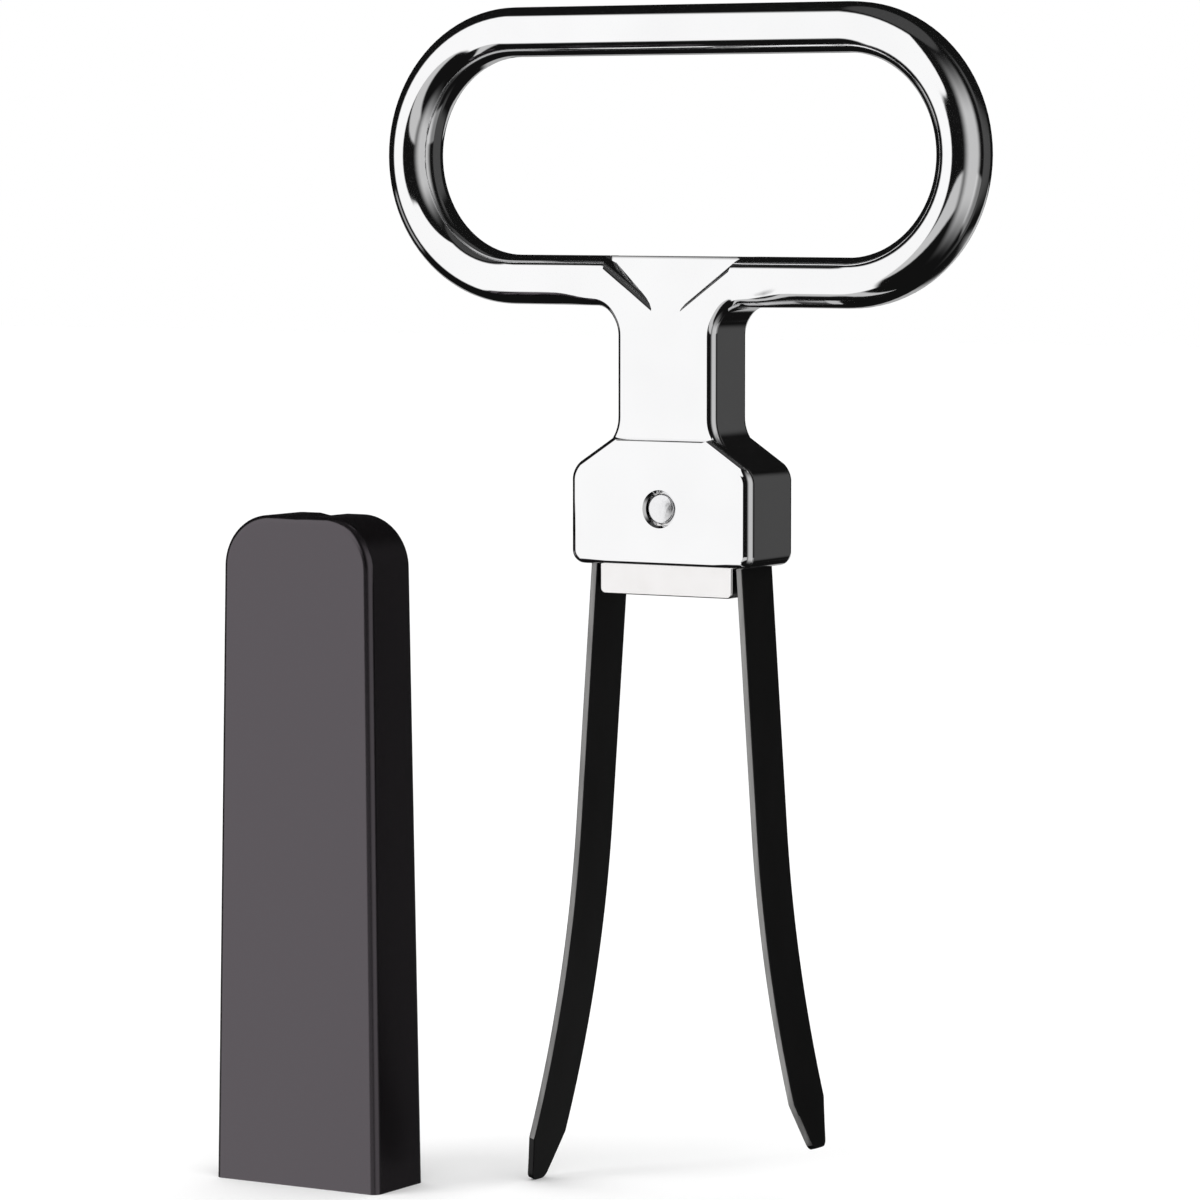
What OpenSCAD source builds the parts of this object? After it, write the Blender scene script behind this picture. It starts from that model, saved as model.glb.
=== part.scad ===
// Two-prong cork puller with its sheath standing beside it.
// Millimetres. The origin is the centre of the ring handle, +X runs along the ring,
// +Y points to the back and +Z points up.

/* [Ring handle] */
// Outer width of the ring
ring_w = 82.2; // [70:0.2:100]
// Outer height of the ring
ring_h = 36.1; // [32:0.1:44]
// Thickness of the ring's bar, seen from the front
bar_t = 6; // [5:0.1:7]
// Flat stretch between the bar's round front and its round back
bar_flat = 1.2; // [0.4:0.1:2]

/* [Neck] */
// Length of the neck between the ring and the block
neck_len = 15.75; // [12:0.05:25]
// Width of the neck
neck_w = 13.6; // [12:0.2:16]
// How far the block's faces stand proud of the neck
ledge = 1.2; // [0.5:0.1:1.6]
// Radius of the hollow corners where the neck meets the ring
neck_fillet = 3.5; // [2:0.1:5]
// Radius along the upright edges of the neck and the block
edge_r = 1; // [0.5:0.1:1.2]
// Width of the scoop at the ring's inner edge
scoop_top_w = 18; // [15:0.2:20]
// Width of the scoop at the ring's underside
scoop_foot_w = 4.8; // [3:0.2:7]
// Thickness of the web that the two scoops leave at the ring's inner edge
scoop_web = 1; // [0.6:0.1:2]

/* [Block] */
// Wall between the prong slots and the block's sides
side_wall = 1.3; // [1:0.05:2.5]
// Wall in front of the slots and behind them
face_wall = 1.4; // [1:0.05:2]
// Metal above the spacer's pocket
crown = 4.9; // [4:0.1:7]
// Height of the sloping shoulders
shoulder_h = 3.4; // [2:0.1:3.8]
// Radius of the block's lower corners, seen from the front
foot_r = 1.2; // [0.6:0.1:1.2]

/* [Cross pin] */
// Diameter of the pin
pin_d = 3.6; // [3:0.1:4.4]
// Height of the pin above the block's mouth
pin_rise = 6.55; // [5.5:0.05:7]
// Depth of the pin's ends below the block's faces
pin_recess = 0.4; // [0.2:0.05:0.8]
// Radial play of the pin in its holes
pin_fit = 0.02; // [0.01:0.01:0.05]
// Width of the chamfer round the pin's holes
pin_chamfer = 0.3; // [0.1:0.05:0.4]

/* [Prong spacer] */
// Height of the spacer above the block's mouth
spacer_rise = 10; // [9.5:0.1:13]
// Length of the tongue below the block's mouth
tongue_drop = 4; // [3:0.05:5]
// Radius of the tongue's lower corners
tongue_r = 0.7; // [0.3:0.1:1.2]
// How much deeper the spacer is than the prongs are wide
spacer_over = 0.2; // [0:0.05:0.4]
// Play between the spacer and its pocket
spacer_fit = 0.1; // [0.05:0.05:0.2]

/* [Prongs] */
// Span over the prongs' outer faces at the block's mouth
mouth_span = 20.9; // [19:0.1:24]
// Width of the spring strip
prong_w = 7.4; // [6:0.1:8]
// Thickness of the spring strip
prong_t = 0.85; // [0.6:0.05:1.2]
// Outward lean of the straight stretch, in degrees
lean = 4; // [3:0.1:5]
// Straight stretch below the block's mouth
straight_drop = 32; // [20:0.5:36]
// Radius of the outward bend
bend_r = 200; // [150:5:260]
// Reach of the long prong below the block's mouth
long_drop = 77.4; // [68:0.2:90]
// Reach of the short prong below the block's mouth
short_drop = 70; // [60:0.2:75]
// Length of the tapered tip
tip_len = 5.6; // [4:0.1:8]
// Width of the tip's end
tip_w = 2.9; // [2.5:0.1:4]
// Radius of the tip's corners
tip_r = 1.2; // [0.5:0.1:1.2]
// Radius of the bead rolled at the top of each prong
bead_r = 1.2; // [1:0.05:1.4]
// Radial play of the bead in its groove
bead_fit = 0.05; // [0.02:0.01:0.1]
// Room round the bead in the block
bead_room = 0.2; // [0.15:0.05:0.4]
// Height of the bead's centre above the block's mouth
pivot_rise = 2.2; // [1.8:0.1:3]
// Inward swing of a prong before the tongue stops it, in degrees
swing_in = 5; // [3:0.1:6]
// Gap left between prong and tongue at that swing
stop_gap = 0.12; // [0.1:0.01:0.25]
// Room between the strip's edges and the slot's faces
edge_room = 0.3; // [0.15:0.05:0.5]

/* [Sheath] */
// Wall of the sheath
sheath_wall = 0.9; // [0.8:0.05:1.6]
// Free space past the long prong's tip when the sheath is on
tip_room = 4.1; // [2:0.1:8]
// Play beside the prongs at the sheath's mouth
mouth_fit = 1.03; // [0.05:0.01:1.5]
// Room in front of the spacer and behind it at the sheath's mouth
mouth_room = 0.6; // [0.3:0.05:1]
// Narrowing of the sheath's width from its mouth to its closed end
taper_w = 2.5; // [0.5:0.1:3]
// Narrowing of the sheath's depth from its mouth to its closed end
taper_d = 1.3; // [0.3:0.1:1.4]
// Radius of the closed end's corners, seen from the front
sheath_corner_r = 6.3; // [3:0.1:8]
// Radius of the closed end's corners, seen from the side
sheath_edge_r = 1.5; // [1.2:0.1:3]
// Width of the shallow groove across the closed end
gate_w = 4.2; // [2:0.1:6]
// Depth of that groove
gate_t = 0.4; // [0.2:0.05:0.6]
// Place of the standing sheath along the ring
stand_x = -43.3; // [-70:0.1:-38]
// Place of the standing sheath in front of the ring
stand_y = -14.5; // [-40:0.5:-13]

/* [Hidden] */
$fn = 128;
bend_fn = 720;
// Cuts reach this far past the faces they open
over = 1;
// The straight stretch of a prong runs this far into its bend
lap = 0.05;

// Ring
bar_d = bar_t + bar_flat;
ring_r = (ring_h - bar_t) / 2;
ring_half = (ring_w - ring_h) / 2;
ring_inner_z = -ring_r + bar_t / 2;
ring_foot_z = -ring_h / 2;

// Prong hinge
mouth_half = mouth_span / 2;
pivot_x = mouth_half - prong_t / 2 / cos(lean) - pivot_rise * tan(lean);
slot_half = pivot_x + bead_r + bead_room;
slot_rise = pivot_rise + bead_r + bead_room;

// Spacer, whose flanks stop the prongs
spacer_half = pivot_x - prong_t / 2 / cos(swing_in - lean)
    - (pivot_rise + tongue_drop) * tan(swing_in - lean) - stop_gap;
spacer_d = prong_w + spacer_over;
slot_d = prong_w + 2 * edge_room;

// Block
block_w = 2 * (slot_half + side_wall);
block_d = slot_d + 2 * face_wall;
block_h = spacer_rise + spacer_fit + crown;
neck_d = block_d - 2 * ledge;
crease_z = ring_foot_z - neck_len;
mouth_z = crease_z - block_h;
pivot_z = mouth_z + pivot_rise;
pin_z = mouth_z + pin_rise;
pin_len = block_d - 2 * pin_recess;

// Sheath
floor_z = mouth_z - long_drop;
sheath_h = long_drop + tip_room + sheath_wall;
cavity_w = 2 * (spacer_half + prong_t + mouth_fit);
cavity_d = spacer_d + 2 * mouth_room;

// Draws a 2-D outline along Y, with the outline's second axis on Z
module along_y(depth) {
    rotate([90, 0, 0])
        linear_extrude(height = depth, center = true)
            children();
}

// Draws a 2-D outline along X, with the outline's first axis on Y and its second on Z
module along_x(length) {
    rotate([90, 0, 90])
        linear_extrude(height = length, center = true)
            children();
}

// Rectangle with round corners
module round_rect(w, h, r) {
    square([w - 2 * r, h], center = true);
    square([w, h - 2 * r], center = true);
    for (sx = [-1, 1], sy = [-1, 1])
        translate([sx * (w / 2 - r), sy * (h / 2 - r)])
            circle(r);
}

// Upright outline on the first axis that narrows from base_w to top_w, with round upper corners
module tapered_outline(base_w, top_w, h, r) {
    k = (top_w - base_w) / 2 / h;
    slant = sqrt(1 + k * k);
    cx = base_w / 2 + k * (h - r) - r * slant;
    side = [cx + r / slant, h - r - r * k / slant];
    polygon([
        [-base_w / 2, 0], [base_w / 2, 0], side, [cx, h], [-cx, h], [-side[0], side[1]]
    ]);
    for (s = [-1, 1])
        translate([s * cx, h - r])
            circle(r);
}

// Section of the ring's bar: straight above and below, round in front and behind
module bar_section() {
    square([bar_t, bar_flat], center = true);
    for (s = [-1, 1])
        translate([0, s * bar_flat / 2])
            circle(bar_t / 2);
}

module ring() {
    for (s = [-1, 1]) {
        translate([s * ring_half, 0, 0])
            rotate([90, 0, 0])
                rotate_extrude(angle = 180, start = -90 * s)
                    translate([ring_r, 0])
                        bar_section();
        translate([0, 0, s * ring_r])
            rotate([0, 90, 0])
                linear_extrude(height = 2 * ring_half, center = true)
                    bar_section();
    }
}

// Hollow corners under the ring, beside the neck
module neck_corners() {
    reach = neck_w / 2 + neck_fillet;
    along_y(bar_d - bar_t / 2)
        difference() {
            translate([-reach, ring_foot_z - neck_fillet])
                square([2 * reach, neck_fillet + bar_t / 3]);
            for (s = [-1, 1])
                translate([s * reach, ring_foot_z - neck_fillet])
                    circle(neck_fillet);
        }
}

module neck() {
    translate([0, 0, crease_z - over])
        linear_extrude(height = ring_inner_z - crease_z + over)
            round_rect(neck_w, neck_d, edge_r);
}

// Scoop cut into the front, from the neck's face at the ring's underside
// back to the thin web at the ring's inner edge
module scoop() {
    rise = ring_inner_z - ring_foot_z;
    run = neck_d / 2 - scoop_web / 2;
    slope = atan2(run, rise);
    spread = (scoop_top_w - scoop_foot_w) / 2 / rise;
    intersection() {
        along_y(neck_d + 2 * over)
            polygon([
                [-scoop_foot_w / 2, ring_foot_z],
                [scoop_foot_w / 2, ring_foot_z],
                [scoop_top_w / 2 + spread * over, ring_inner_z + over],
                [-scoop_top_w / 2 - spread * over, ring_inner_z + over]
            ]);
        translate([0, -neck_d / 2, ring_foot_z])
            rotate([-slope, 0, 0])
                translate([-scoop_top_w, -neck_d, -neck_d])
                    cube([2 * scoop_top_w, neck_d, ring_h]);
    }
}

// Block seen from the front: shoulders above, round corners at the mouth
module block_front() {
    translate([0, mouth_z + block_h - shoulder_h])
        mirror([0, 1])
            tapered_outline(block_w, block_w, block_h - shoulder_h, foot_r);
    polygon([
        [-block_w / 2, crease_z - shoulder_h], [block_w / 2, crease_z - shoulder_h],
        [neck_w / 2, crease_z], [-neck_w / 2, crease_z]
    ]);
}

module block() {
    intersection() {
        along_y(block_d + 2 * over)
            block_front();
        translate([0, 0, mouth_z - over])
            linear_extrude(height = block_h + 2 * over)
                round_rect(block_w, block_d, edge_r);
    }
}

// Pocket for the spacer, with a slot on each side for a prong's bead
module pocket() {
    pocket_half = spacer_half + spacer_fit;
    translate([-pocket_half, -slot_d / 2, mouth_z - over])
        cube([2 * pocket_half, slot_d, spacer_rise + spacer_fit + over]);
    translate([-slot_half, -slot_d / 2, mouth_z - over])
        cube([2 * slot_half, slot_d, slot_rise + over]);
}

// Hole for the cross pin, with a chamfer at each end
module pin_hole(chamfer) {
    bore_r = pin_d / 2 + pin_fit;
    translate([0, 0, pin_z])
        rotate([90, 0, 0]) {
            cylinder(r = bore_r, h = block_d + 2 * over, center = true);
            for (s = [-1, 1])
                mirror([0, 0, s < 0 ? 1 : 0])
                    translate([0, 0, block_d / 2 - chamfer])
                        cylinder(r1 = bore_r, r2 = bore_r + 2 * chamfer, h = 2 * chamfer);
        }
}

module handle() {
    color("gainsboro")
        difference() {
            union() {
                ring();
                neck_corners();
                neck();
                block();
            }
            scoop();
            mirror([0, 1, 0])
                scoop();
            pocket();
            pin_hole(pin_chamfer);
        }
}

// Spacer between the prongs, whose lower end shows as a tongue
module prong_spacer() {
    groove_r = bead_r + bead_fit;
    color("silver")
        difference() {
            translate([0, 0, mouth_z + spacer_rise])
                along_y(spacer_d)
                    mirror([0, 1])
                        tapered_outline(2 * spacer_half, 2 * spacer_half, spacer_rise + tongue_drop, tongue_r);
            for (s = [-1, 1])
                translate([s * pivot_x, 0, pivot_z])
                    rotate([90, 0, 0])
                        cylinder(r = groove_r, h = spacer_d + 2 * over, center = true);
            translate([0, 0, pin_z])
                rotate([90, 0, 0])
                    cylinder(r = pin_d / 2 + pin_fit, h = spacer_d + 2 * over, center = true);
        }
}

module cross_pin() {
    color("lightgray")
        translate([0, 0, pin_z])
            rotate([90, 0, 0])
                cylinder(d = pin_d, h = pin_len, center = true);
}

// Strip seen from the front: bead, straight stretch and outward bend, on the +X side
module prong_profile(drop) {
    straight_len = (pivot_rise + straight_drop) / cos(lean);
    bend_x = pivot_x + straight_len * sin(lean) + bend_r * cos(lean);
    bend_z = pivot_z - straight_len * cos(lean) + bend_r * sin(lean);
    end_turn = asin((bend_z - mouth_z + drop + over) / bend_r);
    wedge_r = 2 * bend_r;
    translate([pivot_x, pivot_z]) {
        circle(bead_r);
        rotate(lean)
            translate([-prong_t / 2, -straight_len - lap])
                square([prong_t, straight_len + lap]);
    }
    translate([bend_x, bend_z])
        intersection() {
            difference() {
                circle(bend_r + prong_t / 2, $fn = bend_fn);
                circle(bend_r - prong_t / 2, $fn = bend_fn);
            }
            polygon([
                [0, 0],
                -wedge_r * [cos(lean), sin(lean)],
                -wedge_r * [cos(end_turn), sin(end_turn)]
            ]);
        }
}

// Strip seen from the side: even width down to the tapered tip
module prong_outline(drop) {
    tip_top = mouth_z - drop + tip_len;
    translate([-prong_w / 2, tip_top])
        square([prong_w, pivot_z + 2 * bead_r - tip_top]);
    translate([0, tip_top])
        mirror([0, 1])
            tapered_outline(prong_w, tip_w, tip_len, tip_r);
}

module prong(drop) {
    intersection() {
        along_y(prong_w + 2 * over)
            prong_profile(drop);
        along_x(ring_w)
            prong_outline(drop);
    }
}

module long_prong() {
    color([0.06, 0.06, 0.065])
        mirror([1, 0, 0])
            prong(long_drop);
}

module short_prong() {
    color([0.06, 0.06, 0.065])
        prong(short_drop);
}

// Outline on the first axis that narrows from base_w to top_w, with its upper corners cut off
module chamfered_outline(base_w, top_w, h, c) {
    k = (top_w - base_w) / 2 / h;
    side = base_w / 2 + k * (h - c);
    top = top_w / 2 - c;
    polygon([
        [-base_w / 2, 0], [base_w / 2, 0], [side, h - c], [top, h], [-top, h], [-side, h - c]
    ]);
}

// Outside of the sheath: narrows upwards both ways to its rounded closed end
module sheath_body(w, d) {
    intersection() {
        along_y(2 * d)
            tapered_outline(w, w - taper_w, sheath_h, sheath_corner_r);
        along_x(2 * w)
            tapered_outline(d, d - taper_d, sheath_h, sheath_edge_r);
    }
}

// Hollow of the sheath, with the same slant as its outside
module sheath_cavity() {
    h = sheath_h - sheath_wall;
    share = h / sheath_h;
    intersection() {
        along_y(2 * cavity_d)
            chamfered_outline(cavity_w, cavity_w - taper_w * share, h, sheath_corner_r - sheath_wall);
        along_x(2 * cavity_w)
            chamfered_outline(cavity_d, cavity_d - taper_d * share, h, sheath_edge_r - sheath_wall);
    }
}

// Sheath standing on its mouth
module sheath() {
    outer_w = cavity_w + 2 * sheath_wall;
    outer_d = cavity_d + 2 * sheath_wall;
    color([0.2, 0.18, 0.2])
        translate([stand_x, stand_y, floor_z])
            difference() {
                sheath_body(outer_w, outer_d);
                sheath_cavity();
                translate([-gate_w / 2, -outer_d, sheath_h - gate_t])
                    cube([gate_w, 2 * outer_d, gate_t + over]);
            }
}

handle();
prong_spacer();
cross_pin();
long_prong();
short_prong();
sheath();
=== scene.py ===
"""Two-prong cork puller with its sheath standing beside it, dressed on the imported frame."""
import math

import bmesh
import bpy
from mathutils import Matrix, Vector


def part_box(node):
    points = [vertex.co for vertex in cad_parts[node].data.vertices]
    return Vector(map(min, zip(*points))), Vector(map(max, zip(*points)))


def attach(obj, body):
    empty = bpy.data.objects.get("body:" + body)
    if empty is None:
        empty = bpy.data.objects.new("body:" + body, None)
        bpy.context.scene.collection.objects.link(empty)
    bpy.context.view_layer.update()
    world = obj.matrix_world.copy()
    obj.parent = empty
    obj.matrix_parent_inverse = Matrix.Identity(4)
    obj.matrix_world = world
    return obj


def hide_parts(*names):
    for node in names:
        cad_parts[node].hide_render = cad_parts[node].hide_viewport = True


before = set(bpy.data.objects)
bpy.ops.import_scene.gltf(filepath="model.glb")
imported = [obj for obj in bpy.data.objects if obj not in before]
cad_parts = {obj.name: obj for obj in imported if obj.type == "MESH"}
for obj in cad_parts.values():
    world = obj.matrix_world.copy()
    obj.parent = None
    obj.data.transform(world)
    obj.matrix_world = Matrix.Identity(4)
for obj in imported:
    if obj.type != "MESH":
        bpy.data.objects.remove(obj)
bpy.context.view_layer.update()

# Pieces are modelled in millimetres, one unit each, and brought to metres when they are finished.
MM = 0.001
# A normal or an edge counts as along an axis above the first share of it, and as across it below the second.
ALONG = 0.9
ACROSS = 0.1

# How far a cutting shape reaches past the face that it cuts.
cut_past = 1


def corners(node):
    """Lowest and highest corner of a node, in millimetres."""
    low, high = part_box(node)
    return low / MM, high / MM


# Ring, neck and block
handle_low, handle_high = corners("handle")
ring_top = handle_high.z
ring_end = handle_high.x
mouth_z = handle_low.z
block_half_d = handle_high.y
bar_half = 3.0
bar_half_d = 3.6
bar_round = 2.95
ring_r = ring_top - bar_half
ring_straight = ring_end - ring_top
ring_inner_z = -ring_top + 2 * bar_half
ring_under_z = -ring_top
neck_half_w = 6.8
neck_half_d = 4.2
neck_corner_r = 3.5
neck_round = 1.0
corner_round = 1.7
inner_round = 0.4
inner_x = -1
inner_turn_share = 0.55
outer_turn_share = 0.7
crease_z = mouth_z + 15.0
block_half_w = 12.57
shoulder_z = crease_z - 3.75
shoulder_turn = math.atan2(block_half_w - neck_half_w, crease_z - shoulder_z)
flare_r = 4.5
flare_sink = 0.02
neck_tuck = 0.5
neck_overlap = 1.0
shoulder_corner = 1.4
foot_corner_r = 1.6
block_foot_z = mouth_z - 0.35
block_edge_r = 1.1
crease_edge_r = 0.5
foot_edge_r = 0.7
scoop_top_half = 9.75
scoop_foot_half = 1.65
scoop_foot_z = ring_under_z - 1.05
scoop_web_half = 0.5
scoop_edge_r = 1.5
scoop_flare_steps = 6
scoop_foot_past = 0.1
scoop_top_past = 2.0
scoop_face_past = 0.02
scoop_front_past = 3
chamfer_tilt = math.radians(50)
chamfer_reach = 0.83
chamfer_short = 0.1

# Spacer and cross pin
spacer_low, spacer_high = corners("prong_spacer")
pin_low, pin_high = corners("cross_pin")
pin_r = pin_high.x
pin_z = (pin_low.z + pin_high.z) / 2
pin_hole_r = pin_r + 0.2
pin_chamfer = 0.3
pin_cut_past = 0.5
pin_edge_r = 0.28
pin_dome = ((0.3, 0.05), (0.4, 0.04), (0.4, 0.02), (0.3, 0.0))
pin_play = 0.02
spacer_corner_r = 0.7
spacer_rim_r = 0.22
spacer_play = 0.1

# Prongs
short_low, short_high = corners("short_prong")
long_low = corners("long_prong")[0]
strip_half_w = short_high.y
strip_t = 0.85
strip_lean = math.radians(4.0)
strip_edge_r = 0.14
strip_play = 0.3
bead_r = 1.2
bead_play = 0.05
bead_slot_play = 0.2
bead_x = short_low.x + bead_r
bead_z = short_high.z - bead_r
bend_start_z = mouth_z - 32.0
long_bend_r = 200.0
short_bend_r = 184.0
tip_len = 5.6
tip_half_w = 1.45
tip_r = 1.2
tip_shares = (0.25, 0.5, 0.7, 0.8, 0.86, 0.91, 0.95, 0.975, 0.99, 0.998)

# Sheath
sheath_low, sheath_high = corners("sheath")
floor_z = sheath_low.z
sheath_wall = 0.9
sheath_width_taper = 2.5
sheath_depth_taper = 1.3
sheath_corner_r = 6.3
sheath_edge_r = 1.0
sheath_end = 6
hollow_narrowing = (0.89, 0.85, 1)
groove_half = 2.1
groove_dip = 0.4


def clear_selection():
    """Leaves edit mode and deselects everything, so that the next primitive is alone."""
    if bpy.context.mode != "OBJECT":
        bpy.ops.object.mode_set(mode="OBJECT")
    bpy.ops.object.select_all(action="DESELECT")


def take(piece):
    """Makes the piece the only selected and active object."""
    clear_selection()
    piece.select_set(True)
    bpy.context.view_layer.objects.active = piece


def pick(kind, test):
    """Selects, in edit mode, just the points, edges or faces of the active piece that pass the test."""
    bpy.ops.mesh.select_mode(type=kind)
    bpy.ops.mesh.select_all(action="DESELECT")
    mesh = bpy.context.object.data
    shape = bmesh.from_edit_mesh(mesh)
    shape.normal_update()
    for part in {"VERT": shape.verts, "EDGE": shape.edges, "FACE": shape.faces}[kind]:
        if test(part):
            part.select_set(True)
    shape.select_flush_mode()
    bmesh.update_edit_mesh(mesh)


def middle(part):
    """Centre of an edge or face."""
    return sum((point.co for point in part.verts), Vector()) / len(part.verts)


def run_of(edge):
    """Direction of an edge, with its signs dropped."""
    step = (edge.verts[1].co - edge.verts[0].co).normalized()
    return Vector((abs(step.x), abs(step.y), abs(step.z)))


def broad_face_rim(edge):
    """True for the edges between a front or back face and the sides round it."""
    facing = [abs(face.normal.y) for face in edge.link_faces]
    return max(facing) > ALONG and min(facing) < ACROSS


def near(a, b, slack=1e-3):
    return abs(a - b) < slack


def modify(piece, kind, **settings):
    """Adds a modifier with its settings and applies it."""
    take(piece)
    modifier = piece.modifiers.new(kind.title(), kind)
    for key, value in settings.items():
        setattr(modifier, key, value)
    bpy.ops.object.modifier_apply(modifier=modifier.name)


def apply_transform():
    """Moves the active piece's place, turn and size into its mesh."""
    bpy.ops.object.transform_apply(location=True, rotation=True, scale=True)


def face_outwards():
    """Points all faces of the piece in edit mode outwards and leaves edit mode."""
    bpy.ops.mesh.select_all(action="SELECT")
    bpy.ops.mesh.normals_make_consistent(inside=False)
    bpy.ops.object.mode_set(mode="OBJECT")


def push_out(step):
    """Extrudes the selected faces in edit mode."""
    bpy.ops.mesh.extrude_region_move(TRANSFORM_OT_translate={"value": step})


def combine(piece, tool, operation):
    """Unites the piece with the tool or cuts the tool out of it, and drops the tool."""
    modify(piece, "BOOLEAN", object=tool, operation=operation, solver="EXACT")
    bpy.data.objects.remove(tool)


def box_between(low, high):
    """A box given by two opposite corners."""
    low = Vector(low)
    high = Vector(high)
    clear_selection()
    bpy.ops.mesh.primitive_cube_add(size=1, location=(low + high) / 2)
    box = bpy.context.object
    box.scale = high - low
    apply_transform()
    return box


def rod_along_y(radius, half_length, x, z, sides=64):
    """A round rod from front to back."""
    clear_selection()
    bpy.ops.mesh.primitive_cylinder_add(
        vertices=sides,
        radius=radius,
        depth=2 * half_length,
        location=(x, 0, z),
        rotation=(math.pi / 2, 0, 0),
    )
    apply_transform()
    return bpy.context.object


def finish_piece(piece, name, node, body, smooth_angle=35.0):
    """Brings a finished shape to metres, smooths it and puts it on its body in place of its node."""
    take(piece)
    bpy.ops.object.mode_set(mode="EDIT")
    bpy.ops.mesh.select_all(action="SELECT")
    bpy.ops.mesh.remove_doubles(threshold=1e-4)
    bpy.ops.mesh.normals_make_consistent(inside=False)
    bpy.ops.object.mode_set(mode="OBJECT")
    piece.name = name
    piece.data.name = name
    piece.scale = (MM, MM, MM)
    apply_transform()
    bpy.ops.object.shade_smooth_by_angle(angle=math.radians(smooth_angle))
    modify(piece, "WEIGHTED_NORMAL", keep_sharp=True, weight=60)
    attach(piece, body)
    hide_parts(node)


# Handle


def casting_loop(inner, outer, half_d, inner_r, outer_r):
    """Adds one section of the casting, from its inner to its outer point, as a rounded open loop."""
    span = outer - inner
    centre = (inner + outer) / 2
    place = (centre.x, 0, centre.y)
    turn = -math.atan2(span.y, span.x)
    bpy.ops.mesh.primitive_plane_add(size=span.length, location=place, rotation=(0, turn, 0))
    bpy.ops.transform.resize(value=(1, 2 * half_d / span.length, 1), center_override=place)
    for end, radius in ((inner, inner_r), (outer, outer_r)):
        pick("VERT", lambda v: near(v.co.x, end.x) and near(v.co.z, end.y) and near(abs(v.co.y), half_d))
        bpy.ops.mesh.bevel(offset=radius, segments=12, affect="VERTICES")
    pick("FACE", lambda f: len(f.verts) > 4)
    bpy.ops.mesh.delete(type="ONLY_FACE")


def open_end(edge):
    """True for the loops that wait to be bridged, not for the ring's cut at its top middle."""
    place = middle(edge)
    return len(edge.link_faces) < 2 and not (near(place.x, 0) and place.z > 0)


def ease(t):
    return t * t * (3 - 2 * t)


def neck_sections():
    """Sections along the ring's lower bar, round the hollow corner and down the neck to the shoulders.

    Each is its inner and outer point, half its depth and the rounding at both points.
    """
    corner = Vector((neck_half_w + neck_corner_r, ring_under_z - neck_corner_r))
    bar_steps = 12
    for i in range(1, bar_steps + 1):
        share = i / bar_steps
        x = ring_straight + (corner.x - ring_straight) * share
        half_d = bar_half_d + (neck_half_d - bar_half_d) * share
        under_r = bar_round + (corner_round - bar_round) * ease(max(0, 2 * share - 1))
        yield Vector((x, ring_inner_z)), Vector((x, ring_under_z)), half_d, bar_round, under_r
    turn_steps = 16
    for i in range(1, turn_steps + 1):
        t = i / turn_steps
        angle = math.radians(90 + 90 * t)
        outer = corner + neck_corner_r * Vector((math.cos(angle), math.sin(angle)))
        along = t / inner_turn_share
        if along < 1:
            inner = Vector((corner.x + (inner_x - corner.x) * along, ring_inner_z))
        else:
            down = (along - 1) / (1 / inner_turn_share - 1)
            inner = Vector((inner_x, ring_inner_z + (corner.y - ring_inner_z) * down))
        outer_r = corner_round + (neck_round - corner_round) * ease(min(1, t / outer_turn_share))
        inner_r = bar_round + (inner_round - bar_round) * ease(min(1, along))
        yield inner, outer, neck_half_d, inner_r, outer_r
    flare_z = crease_z + flare_r * math.tan(shoulder_turn / 2)
    for share in (0.25, 0.5, 0.75, 1.0):
        z = corner.y + (flare_z - corner.y) * share
        yield Vector((inner_x, z)), Vector((neck_half_w, z)), neck_half_d, inner_round, neck_round
    flare_steps = 10
    for i in range(1, flare_steps + 1):
        angle = shoulder_turn * i / flare_steps
        x = neck_half_w + flare_r * (1 - math.cos(angle))
        z = flare_z - flare_r * math.sin(angle) - flare_sink
        yield Vector((inner_x, z)), Vector((x, z)), neck_half_d, inner_round, neck_round
    inside_block = Vector((x - neck_tuck, z - neck_overlap))
    yield Vector((inner_x, z - neck_overlap)), inside_block, neck_half_d, inner_round, neck_round


def model_ring_and_neck():
    """Right half swept round the ring and down the neck, then mirrored."""
    clear_selection()
    top_middle = (0, 0, ring_r)
    upright = (0, math.pi / 2, 0)
    bpy.ops.mesh.primitive_plane_add(size=2 * bar_half, location=top_middle, rotation=upright)
    apply_transform()
    casting = bpy.context.object
    bpy.ops.object.mode_set(mode="EDIT")
    bpy.ops.mesh.select_all(action="SELECT")
    bpy.ops.transform.resize(value=(1, bar_half_d / bar_half, 1), center_override=top_middle)
    bpy.ops.mesh.bevel(offset=bar_round, segments=12, affect="VERTICES")
    bpy.ops.mesh.delete(type="ONLY_FACE")
    pick("EDGE", lambda e: True)
    bpy.ops.mesh.extrude_edges_move(TRANSFORM_OT_translate={"value": (ring_straight, 0, 0)})
    bpy.ops.mesh.spin(steps=48, angle=-math.pi, center=(ring_straight, 0, 0), axis=(0, 1, 0))
    for section in neck_sections():
        casting_loop(*section)
        pick("EDGE", open_end)
        bpy.ops.mesh.bridge_edge_loops()
    bpy.ops.mesh.select_all(action="SELECT")
    bpy.ops.mesh.bisect(plane_co=(0, 0, 0), plane_no=(1, 0, 0), clear_inner=True, threshold=1e-4)
    bpy.ops.object.mode_set(mode="OBJECT")
    modify(casting, "MIRROR", use_axis=(True, False, False), merge_threshold=1e-3)
    bpy.ops.object.mode_set(mode="EDIT")
    pick("EDGE", lambda e: len(e.link_faces) < 2)
    bpy.ops.mesh.fill_holes(sides=0)
    face_outwards()
    return casting


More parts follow.
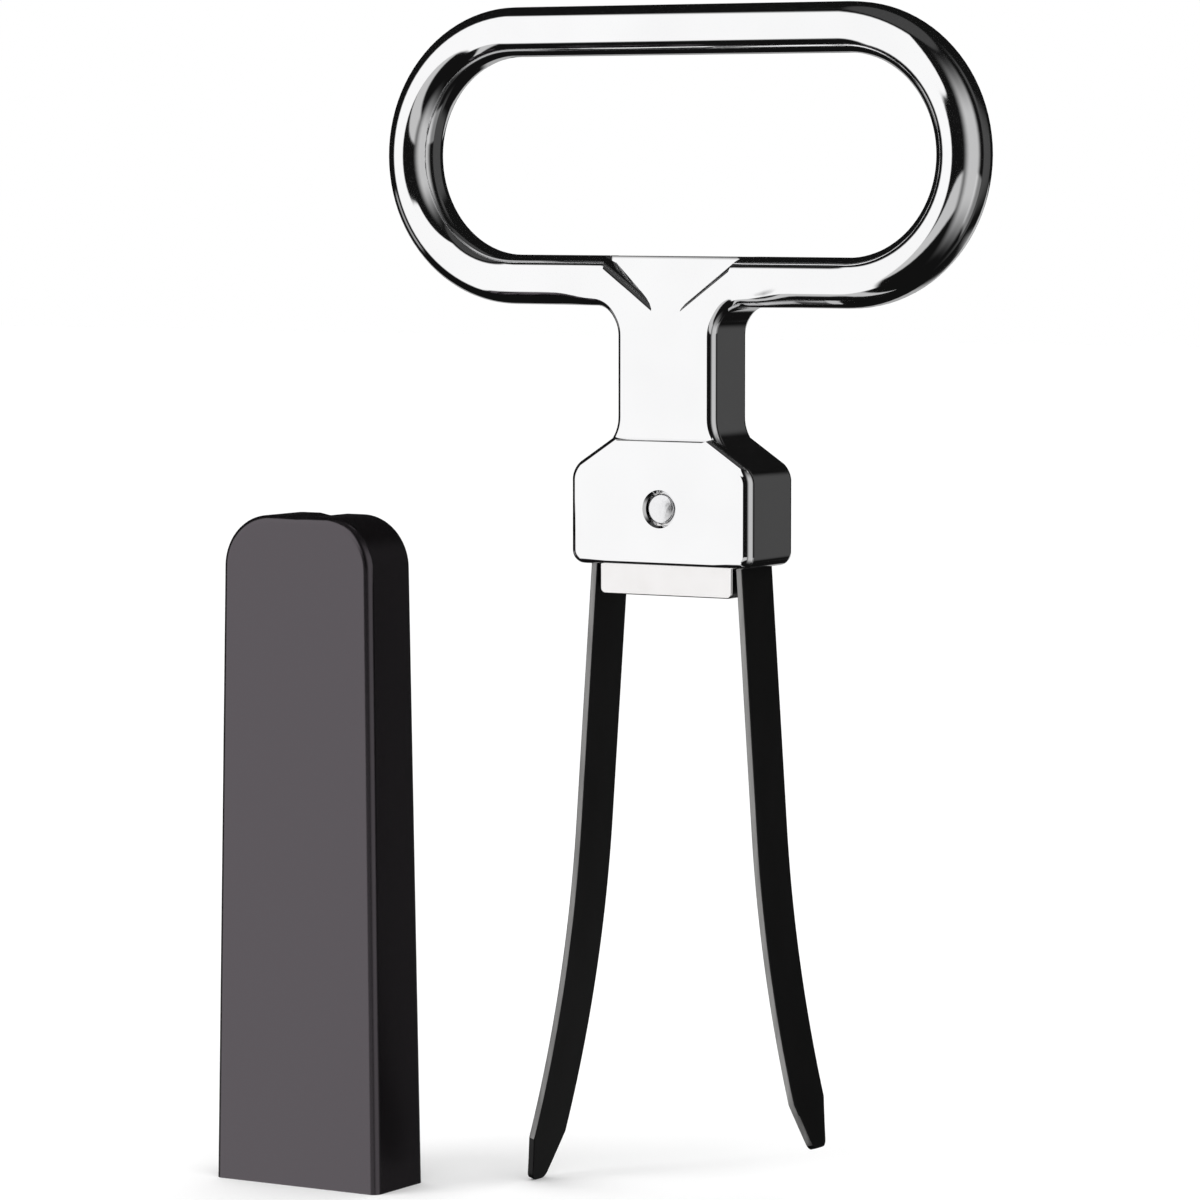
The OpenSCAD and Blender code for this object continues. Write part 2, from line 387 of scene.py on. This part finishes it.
def model_block():
    """Block with sloping shoulders, a rounded outline and softened front and back rims."""
    low = (-block_half_w, -block_half_d, block_foot_z)
    block = box_between(low, (block_half_w, block_half_d, shoulder_z))
    bpy.ops.object.mode_set(mode="EDIT")
    pick("FACE", lambda f: f.normal.z > ALONG)
    push_out((0, 0, crease_z - shoulder_z))
    bpy.ops.transform.resize(value=(neck_half_w / block_half_w, 1, 1), center_override=(0, 0, crease_z))
    pick("EDGE", lambda e: run_of(e).y > ALONG and near(middle(e).z, shoulder_z))
    bpy.ops.mesh.bevel(offset=shoulder_corner, segments=10, affect="EDGES")
    pick("EDGE", lambda e: run_of(e).y > ALONG and near(middle(e).z, block_foot_z))
    bpy.ops.mesh.bevel(offset=foot_corner_r, segments=10, affect="EDGES")
    pick("EDGE", lambda e: min(abs(face.normal.y) for face in e.link_faces) > ALONG)
    bpy.ops.mesh.dissolve_edges()
    pick("EDGE", broad_face_rim)
    bpy.ops.transform.edge_bevelweight(value=1.0)
    for z, edge_r in ((crease_z, crease_edge_r), (block_foot_z, foot_edge_r)):
        pick("EDGE", lambda e: broad_face_rim(e) and near(middle(e).z, z))
        bpy.ops.transform.edge_bevelweight(value=edge_r / block_edge_r - 1)
    bpy.ops.object.mode_set(mode="OBJECT")
    modify(block, "BEVEL", width=block_edge_r, segments=7, limit_method="WEIGHT")
    return block


def model_scoop(side):
    """Wedge that hollows the neck's root on one face, back to the thin web at the ring's inner edge.

    Its flanks flare out near the face, which leaves the hollow's edges rounded.
    """
    rise = ring_inner_z - ring_under_z
    spread = (scoop_top_half - scoop_foot_half) / rise
    slope = (neck_half_d - scoop_web_half) / (ring_inner_z - scoop_foot_z)
    low_z = scoop_foot_z - scoop_foot_past
    top_z = ring_inner_z + scoop_top_past
    face_y = neck_half_d + scoop_face_past
    scoop = box_between((-1, 0, low_z), (1, face_y - scoop_edge_r, top_z))
    bpy.ops.object.mode_set(mode="EDIT")
    for z in (low_z, top_z):
        half = scoop_foot_half + spread * (z - ring_under_z)
        pick("VERT", lambda v: near(v.co.z, z))
        bpy.ops.transform.resize(value=(half, 1, 1), center_override=(0, 0, z))
    flare = [math.radians(90 / scoop_flare_steps * i) for i in range(scoop_flare_steps + 1)]
    for before, after in zip(flare, flare[1:]):
        out = scoop_edge_r * (math.cos(before) - math.cos(after)) * math.hypot(1, spread)
        forward = scoop_edge_r * (math.sin(after) - math.sin(before))
        reach = face_y - scoop_edge_r * (1 - math.sin(before))
        pick("FACE", lambda f: f.normal.y > ALONG and near(middle(f).y, reach))
        push_out((0, forward, 0))
        for flank in (-1, 1):
            pick("VERT", lambda v: near(v.co.y, reach + forward) and v.co.x * flank > 0)
            bpy.ops.transform.translate(value=(flank * out, 0, 0))
    pick("FACE", lambda f: f.normal.y > ALONG and near(middle(f).y, face_y))
    push_out((0, scoop_front_past, 0))
    bpy.ops.mesh.select_all(action="SELECT")
    web_foot = (0, neck_half_d, scoop_foot_z)
    bpy.ops.mesh.bisect(plane_co=web_foot, plane_no=(0, 1, slope), use_fill=True, clear_inner=True)
    face_outwards()
    if side < 0:
        take(scoop)
        scoop.scale = (1, -1, 1)
        apply_transform()
        bpy.ops.object.mode_set(mode="EDIT")
        face_outwards()
    return scoop


def model_web_chamfer(side):
    """Box that takes the edge off the web at the ring's inner side."""
    away = Vector((0, side * math.sin(chamfer_tilt), math.cos(chamfer_tilt)))
    centre = Vector((0, side * scoop_web_half, ring_inner_z)) + chamfer_reach * away
    clear_selection()
    bpy.ops.mesh.primitive_cube_add(size=2, location=centre, rotation=(-side * chamfer_tilt, 0, 0))
    chamfer = bpy.context.object
    chamfer.scale.x = scoop_top_half - chamfer_short
    apply_transform()
    return chamfer


def model_handle():
    """Casting with its scoops, the pocket for spacer and prongs, and the pin's widened hole."""
    handle = model_ring_and_neck()
    combine(handle, model_block(), "UNION")
    for side in (-1, 1):
        combine(handle, model_scoop(side), "DIFFERENCE")
        combine(handle, model_web_chamfer(side), "DIFFERENCE")
    slot_half_d = strip_half_w + strip_play
    for half, top_z in (
        (spacer_high.x + spacer_play, spacer_high.z + spacer_play),
        (bead_x + bead_r + bead_slot_play, bead_z + bead_r + bead_slot_play),
    ):
        low = (-half, -slot_half_d, mouth_z - cut_past)
        pocket = box_between(low, (half, slot_half_d, top_z))
        combine(handle, pocket, "DIFFERENCE")
    hole = rod_along_y(pin_hole_r, block_half_d - pin_chamfer, 0, pin_z, sides=96)
    bpy.ops.object.mode_set(mode="EDIT")
    widening = pin_chamfer + pin_cut_past
    grow = (pin_hole_r + widening) / pin_hole_r
    for side in (-1, 1):
        pick("FACE", lambda f: f.normal.y * side > ALONG)
        push_out((0, side * widening, 0))
        bpy.ops.transform.resize(value=(grow, 1, grow), center_override=(0, 0, pin_z))
    bpy.ops.object.mode_set(mode="OBJECT")
    combine(handle, hole, "DIFFERENCE")
    return handle


# Spacer, pin


def model_spacer():
    """Plate between the prongs: soft rims, a groove on each flank for a bead, a hole for the pin."""
    spacer = box_between(spacer_low, spacer_high)
    bpy.ops.object.mode_set(mode="EDIT")
    pick("EDGE", lambda e: run_of(e).y > ALONG and middle(e).z < mouth_z)
    bpy.ops.mesh.bevel(offset=spacer_corner_r, segments=6, affect="EDGES")
    pick("EDGE", lambda e: near(abs(middle(e).y), spacer_high.y) and run_of(e).y < ACROSS)
    bpy.ops.mesh.bevel(offset=spacer_rim_r, segments=4, affect="EDGES")
    bpy.ops.object.mode_set(mode="OBJECT")
    for side in (-1, 1):
        groove = rod_along_y(bead_r + bead_play, spacer_high.y + cut_past, side * bead_x, bead_z)
        combine(spacer, groove, "DIFFERENCE")
    hole = rod_along_y(pin_r + pin_play, spacer_high.y + cut_past, 0, pin_z)
    combine(spacer, hole, "DIFFERENCE")
    return spacer


def model_pin():
    """Cross pin with a rounded edge and a faintly domed face at each end."""
    pin = rod_along_y(pin_r, pin_high.y, 0, pin_z)
    bpy.ops.object.mode_set(mode="EDIT")
    pick("EDGE", lambda e: run_of(e).y < ACROSS)
    bpy.ops.mesh.bevel(offset=pin_edge_r, segments=5, affect="EDGES")
    for side in (-1, 1):
        pick("FACE", lambda f: f.normal.y * side > 0.99)
        for inset, depth in pin_dome:
            bpy.ops.mesh.inset(thickness=inset, depth=depth)
    bpy.ops.object.mode_set(mode="OBJECT")
    return pin


# Prongs


def tip_half(s):
    """Half-width of the strip at a distance s past the start of its tapered tip."""
    k = (tip_half_w - strip_half_w) / tip_len
    slant = math.sqrt(1 + k * k)
    centre = strip_half_w + k * (tip_len - tip_r) - tip_r * slant
    tangent = tip_len - tip_r - tip_r * k / slant
    if s < tangent:
        return strip_half_w + k * s
    return centre + math.sqrt(max(0.0, tip_r**2 - (s - tip_len + tip_r) ** 2))


def model_prong(tip_z, bend_r):
    """Right-hand prong: bead, straight stretch, outward bend and tapered tip."""
    run = (bead_z - bend_start_z) / math.cos(strip_lean)
    down = Vector((math.sin(strip_lean), 0, -math.cos(strip_lean)))
    bend = Vector((bead_x, 0, bead_z)) + run * down
    bend += bend_r * Vector((math.cos(strip_lean), 0, math.sin(strip_lean)))
    tip_z += strip_t / 2 * (bend.z - tip_z) / bend_r
    tip_turn = math.asin((bend.z - tip_z - tip_len) / bend_r)
    clear_selection()
    top = (bead_x, 0, bead_z)
    bpy.ops.mesh.primitive_plane_add(size=strip_t, location=top, rotation=(0, -strip_lean, 0))
    apply_transform()
    strip = bpy.context.object
    bpy.ops.object.mode_set(mode="EDIT")
    bpy.ops.mesh.select_all(action="SELECT")
    bpy.ops.transform.resize(value=(1, 2 * strip_half_w / strip_t, 1), center_override=top)
    bpy.ops.mesh.bevel(offset=strip_edge_r, segments=3, affect="VERTICES")
    pick("FACE", lambda f: True)
    push_out(run * down)
    bpy.ops.mesh.spin(steps=24, angle=tip_turn - strip_lean, center=bend, axis=(0, 1, 0))
    turn = tip_turn
    half = strip_half_w
    for share in tip_shares:
        s = share * tip_len
        next_turn = math.asin((bend.z - tip_z - tip_len + s) / bend_r)
        bpy.ops.mesh.spin(steps=1, angle=next_turn - turn, center=bend, axis=(0, 1, 0))
        bpy.ops.transform.resize(value=(1, tip_half(s) / half, 1), center_override=(0, 0, 0))
        turn = next_turn
        half = tip_half(s)
    bpy.ops.object.mode_set(mode="OBJECT")
    bead = rod_along_y(bead_r, strip_half_w, bead_x, bead_z)
    combine(strip, bead, "UNION")
    return strip


def mirror_piece(piece):
    """Turns a right-hand piece into a left-hand one."""
    take(piece)
    piece.scale = (-1, 1, 1)
    apply_transform()


# Sheath


def model_sheath():
    """Tapered sheath on its mouth: rounded closed end, hollow inside, shallow groove across the top."""
    middle_x = (sheath_low.x + sheath_high.x) / 2
    middle_y = (sheath_low.y + sheath_high.y) / 2
    width = sheath_high.x - sheath_low.x
    depth = sheath_high.y - sheath_low.y
    top_z = sheath_high.z
    sheath = box_between(sheath_low, sheath_high)
    bpy.ops.object.mode_set(mode="EDIT")
    pick("FACE", lambda f: f.normal.z > ALONG)
    narrowed = (1 - sheath_width_taper / width, 1 - sheath_depth_taper / depth, 1)
    bpy.ops.transform.resize(value=narrowed, center_override=(middle_x, middle_y, top_z))
    pick("EDGE", lambda e: run_of(e).y > ALONG and middle(e).z > top_z - 1)
    bpy.ops.mesh.bevel(offset=sheath_corner_r, segments=20, affect="EDGES")
    pick("EDGE", lambda e: broad_face_rim(e) and middle(e).z > floor_z + 0.1)
    bpy.ops.mesh.bevel(offset=sheath_edge_r, segments=7, affect="EDGES")
    pick("FACE", lambda f: f.normal.z < -ALONG)
    bpy.ops.mesh.inset(thickness=sheath_wall, depth=0)
    push_out((0, 0, top_z - floor_z - sheath_end))
    bpy.ops.transform.resize(value=hollow_narrowing, center_override=(middle_x, middle_y, top_z))
    bpy.ops.object.mode_set(mode="OBJECT")
    groove_r = (groove_half**2 + groove_dip**2) / (2 * groove_dip)
    groove = rod_along_y(groove_r, depth, middle_x, top_z - groove_dip + groove_r, sides=128)
    take(groove)
    groove.location.y = middle_y
    combine(sheath, groove, "DIFFERENCE")
    return sheath


# Finishes


class Wire:
    """One output of a node; arithmetic on it adds Math nodes."""

    def __init__(self, finish, socket):
        self.finish = finish
        self.socket = socket

    def math(self, operation, *values):
        sockets = {i: value for i, value in enumerate(values)}
        return self.finish.node("ShaderNodeMath", {"operation": operation}, sockets)

    def __add__(self, other):
        return self.math("ADD", self, other)

    def __radd__(self, other):
        return self.math("ADD", other, self)

    def __sub__(self, other):
        return self.math("SUBTRACT", self, other)

    def __rsub__(self, other):
        return self.math("SUBTRACT", other, self)

    def __mul__(self, other):
        return self.math("MULTIPLY", self, other)

    def __rmul__(self, other):
        return self.math("MULTIPLY", other, self)

    def between(self, low, high):
        """0 below low, 1 above high, smooth between."""
        settings = {"interpolation_type": "SMOOTHSTEP"}
        sockets = {"Value": self, "From Min": low, "From Max": high}
        return self.finish.node("ShaderNodeMapRange", settings, sockets)


class Finish:
    """A node tree that is written one node at a time."""

    def __init__(self, owner):
        owner.use_nodes = True
        self.tree = owner.node_tree
        self.tree.nodes.clear()

    def node(self, kind, settings=None, sockets=None, output=0):
        made = self.tree.nodes.new(kind)
        for key, value in (settings or {}).items():
            setattr(made, key, value)
        for key, value in (sockets or {}).items():
            if isinstance(value, Wire):
                self.tree.links.new(value.socket, made.inputs[key])
            else:
                made.inputs[key].default_value = value
        return Wire(self, made.outputs[output]) if made.outputs else None

    def noise(self, scale, detail=3.0, stretch=(1, 1, 1)):
        """Noise on Object coordinates; scale is in features per metre, stretch in shares of it."""
        place = self.node("ShaderNodeTexCoord", output=3)
        grain = self.node("ShaderNodeMapping", None, {"Vector": place, "Scale": stretch})
        return self.node("ShaderNodeTexNoise", None, {"Vector": grain, "Scale": scale, "Detail": detail})

    def blend(self, amount, first, second):
        settings = {"data_type": "RGBA"}
        return self.node("ShaderNodeMix", settings, {0: amount, 6: first, 7: second}, output=2)

    def bump(self, height, strength, distance):
        sockets = {"Height": height, "Strength": strength, "Distance": distance}
        return self.node("ShaderNodeBump", None, sockets)


def surface(name):
    """A new material and the finish that writes its nodes."""
    material = bpy.data.materials.new(name)
    return material, Finish(material)


def close_material(finish, sockets):
    """Ends a finish with a Principled shader that takes these sockets."""
    shader = finish.node("ShaderNodeBsdfPrincipled", None, sockets)
    finish.node("ShaderNodeOutputMaterial", None, {"Surface": shader})


def chrome_plate():
    """Bright chrome on a polished casting: faint cloudiness and the odd hair scratch."""
    material, finish = surface("chrome_plate")
    cloud = finish.noise(90.0, 2.0)
    polish = finish.noise(900.0, 4.0, (1.0, 1.0, 0.15))
    close_material(
        finish,
        {
            "Base Color": finish.blend(cloud, (0.90, 0.90, 0.905, 1), (0.97, 0.97, 0.975, 1)),
            "Metallic": 1.0,
            "Roughness": 0.035 + 0.03 * polish,
            "Normal": finish.bump(cloud, 0.03, 0.0002),
        },
    )
    return material


def satin_steel():
    """Tumbled steel of the spacer: near white, faintly warm, with a fine upright grain."""
    material, finish = surface("satin_steel")
    mottle = finish.noise(260.0, 3.0)
    grain = finish.noise(2600.0, 4.0, (1.0, 1.0, 0.12))
    close_material(
        finish,
        {
            "Base Color": finish.blend(mottle, (0.86, 0.84, 0.83, 1), (0.95, 0.94, 0.94, 1)),
            "Metallic": 1.0,
            "Roughness": 0.12 + 0.10 * grain,
            "Normal": finish.bump(grain, 0.06, 0.00003),
        },
    )
    return material


def polished_pin():
    """Turned pin face, less bright than the chrome."""
    material, finish = surface("polished_pin")
    turned = finish.noise(1400.0, 3.0)
    close_material(
        finish,
        {
            "Base Color": finish.blend(turned, (0.82, 0.82, 0.83, 1), (0.93, 0.93, 0.94, 1)),
            "Metallic": 1.0,
            "Roughness": 0.16 + 0.12 * turned,
            "Normal": finish.bump(turned, 0.25, 0.0001),
        },
    )
    return material


def black_coat():
    """Black coating on the strip's broad faces, satin, a little uneven."""
    material, finish = surface("black_coat")
    uneven = finish.noise(400.0, 4.0, (1.0, 1.0, 0.4))
    fine = finish.noise(5000.0, 2.0)
    close_material(
        finish,
        {
            "Base Color": finish.blend(uneven, (0.001, 0.001, 0.001, 1), (0.003, 0.0028, 0.0028, 1)),
            "Specular IOR Level": 0.35,
            "Roughness": 0.30 + 0.16 * uneven,
            "Normal": finish.bump(fine, 0.06, 0.00002),
        },
    )
    return material


def ground_edge():
    """Bare sheared edge of the strip: grey, with drag marks along its length."""
    material, finish = surface("ground_edge")
    drag = finish.noise(1500.0, 4.0, (1.0, 1.0, 0.1))
    close_material(
        finish,
        {
            "Base Color": finish.blend(drag, (0.18, 0.178, 0.175, 1), (0.48, 0.475, 0.47, 1)),
            "Metallic": 1.0,
            "Roughness": 0.34 + 0.12 * drag,
            "Normal": finish.bump(drag, 0.15, 0.00004),
        },
    )
    return material


def sheath_plastic():
    """Fine satin moulded plastic, near black with a purple cast."""
    material, finish = surface("sheath_plastic")
    cloud = finish.noise(70.0, 3.0)
    grain = finish.noise(5200.0, 2.0)
    close_material(
        finish,
        {
            "Base Color": finish.blend(cloud, (0.0012, 0.0009, 0.0011, 1), (0.0025, 0.0019, 0.0023, 1)),
            "Roughness": 0.20 + 0.06 * cloud,
            "IOR": 1.6,
            "Specular IOR Level": 1.0,
            "Specular Tint": (1.0, 0.90, 0.99, 1),
            "Normal": finish.bump(grain, 0.10, 0.00003),
        },
    )
    return material


def dress():
    """Models every piece, gives it its finish and puts it on its body."""
    chrome = chrome_plate()
    coat = black_coat()
    edge = ground_edge()

    handle = model_handle()
    handle.data.materials.append(chrome)
    finish_piece(handle, "handle_casting", "handle", "tool", smooth_angle=20.0)

    spacer = model_spacer()
    spacer.data.materials.append(satin_steel())
    finish_piece(spacer, "spacer_plate", "prong_spacer", "tool")

    pin = model_pin()
    pin.data.materials.append(polished_pin())
    finish_piece(pin, "domed_pin", "cross_pin", "tool", smooth_angle=50.0)

    for tip_z, bend_r, bare_from, name, node in (
        (long_low.z, long_bend_r, long_low.z + tip_len, "long_strip", "long_prong"),
        (short_low.z, short_bend_r, short_low.z, "short_strip", "short_prong"),
    ):
        strip = model_prong(tip_z, bend_r)
        if node == "long_prong":
            mirror_piece(strip)
        strip.data.materials.append(coat)
        strip.data.materials.append(edge)
        finish_piece(strip, name, node, node)
        take(strip)
        bpy.ops.object.mode_set(mode="EDIT")
        pick("FACE", lambda f: abs(f.normal.y) > 0.75 and middle(f).z > bare_from * MM)
        strip.active_material_index = 1
        bpy.ops.object.material_slot_assign()
        bpy.ops.object.mode_set(mode="OBJECT")

    sheath = model_sheath()
    sheath.data.materials.append(sheath_plastic())
    finish_piece(sheath, "sheath_shell", "sheath", "sheath")


# Studio


def lay_floor():
    """Plain white floor that keeps the object's shadow and isn't mirrored in the chrome."""
    clear_selection()
    bpy.ops.mesh.primitive_plane_add(size=6.0, location=(0, 0, floor_z * MM))
    floor = bpy.context.object
    floor.name = "floor"
    apply_transform()
    material, finish = surface("floor_white")
    white = (0.98, 0.98, 0.98, 1)
    close_material(finish, {"Base Color": white, "Roughness": 0.6, "Specular IOR Level": 0.0})
    floor.data.materials.append(material)
    floor.visible_glossy = False


def light_studio():
    """White all round for soft light, and a dark room with panels for what polished faces mirror.

    The panels: white at the left, grey at the right, faint at the rear and overhead, and the pale table
    below the horizon in front, behind and on both sides.
    """
    world = bpy.data.worlds.new("studio")
    bpy.context.scene.world = world
    finish = Finish(world)
    aim = finish.node("ShaderNodeTexCoord", output=0)
    x = finish.node("ShaderNodeSeparateXYZ", None, {0: aim})
    y = Wire(finish, x.socket.node.outputs[1])
    z = Wire(finish, x.socket.node.outputs[2])
    azimuth = x.math("ARCTAN2", x, 0 - y)
    off_front = azimuth.math("ABSOLUTE", azimuth)
    turn = math.radians

    def panel(sides, heights, around=azimuth):
        """Soft-edged panel; of each four values two are where it comes in, two where it fades out."""
        sides = [turn(side) for side in sides]
        across = around.between(*sides[:2]) * (1 - around.between(*sides[2:]))
        return across * z.between(*heights[:2]) * (1 - z.between(*heights[2:]))

    left = panel((-74, -66, 178, 179), (-0.73, -0.67, 0.80, 0.86))
    left_end = turn(-20) + turn(28) * z.between(0.02, 0.35)
    left = left * (1 - (azimuth - left_end).between(turn(-2), turn(2)))
    right = panel((30, 64, 98, 124), (-0.9, -0.35, 0.35, 0.9))
    rear = panel((136, 146, 153, 161), (-0.85, -0.5, 0.5, 0.85))
    table_height = (-0.46, -0.38, -0.14, -0.10)
    table = panel((-46, -40, 26, 44), table_height)
    table = table + panel((-46, -40, -30, -26), (-2, -1.9, -0.46, -0.38))
    table_behind = panel((164, 174, 190, 191), table_height, off_front)
    table_aside = panel((98, 108, 136, 144), (-0.66, -0.58, -0.20, -0.15))
    table_corner = panel((-174, -164, -132, -124), table_height)
    table_left = panel((-101, -97, -86, -82), (-0.40, -0.34, -0.15, -0.11))
    overhead = z.between(0.87, 0.92)
    dark_room = 0.006
    shine = left.math("MAXIMUM", left, 0.55 * table) + 0.5 * table_behind + 0.22 * table_aside
    shine = shine + 0.4 * table_corner + 0.3 * table_left
    shine = dark_room + shine + 0.55 * right + 0.06 * rear + 0.05 * overhead
    path = finish.node("ShaderNodeLightPath")
    glossy = Wire(finish, path.socket.node.outputs["Is Glossy Ray"])
    camera = Wire(finish, path.socket.node.outputs["Is Camera Ray"])
    soft_light = 1.03
    strength = camera + (1 - camera) * (glossy * shine + (1 - glossy) * soft_light)
    sockets = {"Color": (1, 1, 1, 1), "Strength": strength}
    background = finish.node("ShaderNodeBackground", None, sockets)
    finish.node("ShaderNodeOutputWorld", None, {"Surface": background})
    lit_point = Vector((0, 0, -0.06))
    for name, place, size, power in (
        ("key", (-0.55, -0.75, 0.55), 0.5, 3.0),
        ("fill", (0.6, -0.4, 0.6), 0.5, 0.8),
    ):
        clear_selection()
        bpy.ops.object.light_add(type="AREA", location=place)
        lamp = bpy.context.object
        lamp.name = name
        lamp.data.shape = "SQUARE"
        lamp.data.size = size
        lamp.data.energy = power
        lamp.visible_glossy = False
        lamp.rotation_euler = (lit_point - Vector(place)).to_track_quat("-Z", "Y").to_euler()


def set_camera():
    """Camera at the photograph's view: right of the front, a little above the horizon."""
    azimuth = math.radians(31.164)
    elevation = math.radians(4.495)
    distance = 653.85 * MM
    across = Vector((math.cos(azimuth), math.sin(azimuth), 0))
    level = Vector((math.sin(azimuth), -math.cos(azimuth), 0))
    back = math.cos(elevation) * level + Vector((0, 0, math.sin(elevation)))
    target = -9.849 * MM * across + Vector((0, 0, -53.51 * MM))
    photo_px = 1200
    focal_px = 5412.4
    clear_selection()
    bpy.ops.object.camera_add(location=target + distance * back)
    camera = bpy.context.object
    camera.name = "photo_view"
    camera.rotation_euler = (-back).to_track_quat("-Z", "Y").to_euler()
    camera.data.sensor_width = 36.0
    camera.data.lens = camera.data.sensor_width * focal_px / photo_px
    camera.data.clip_start = 0.01
    camera.data.clip_end = 20.0
    bpy.context.scene.camera = camera


set_camera()
dress()
lay_floor()
light_studio()
bpy.context.scene.view_settings.view_transform = "Standard"
clear_selection()
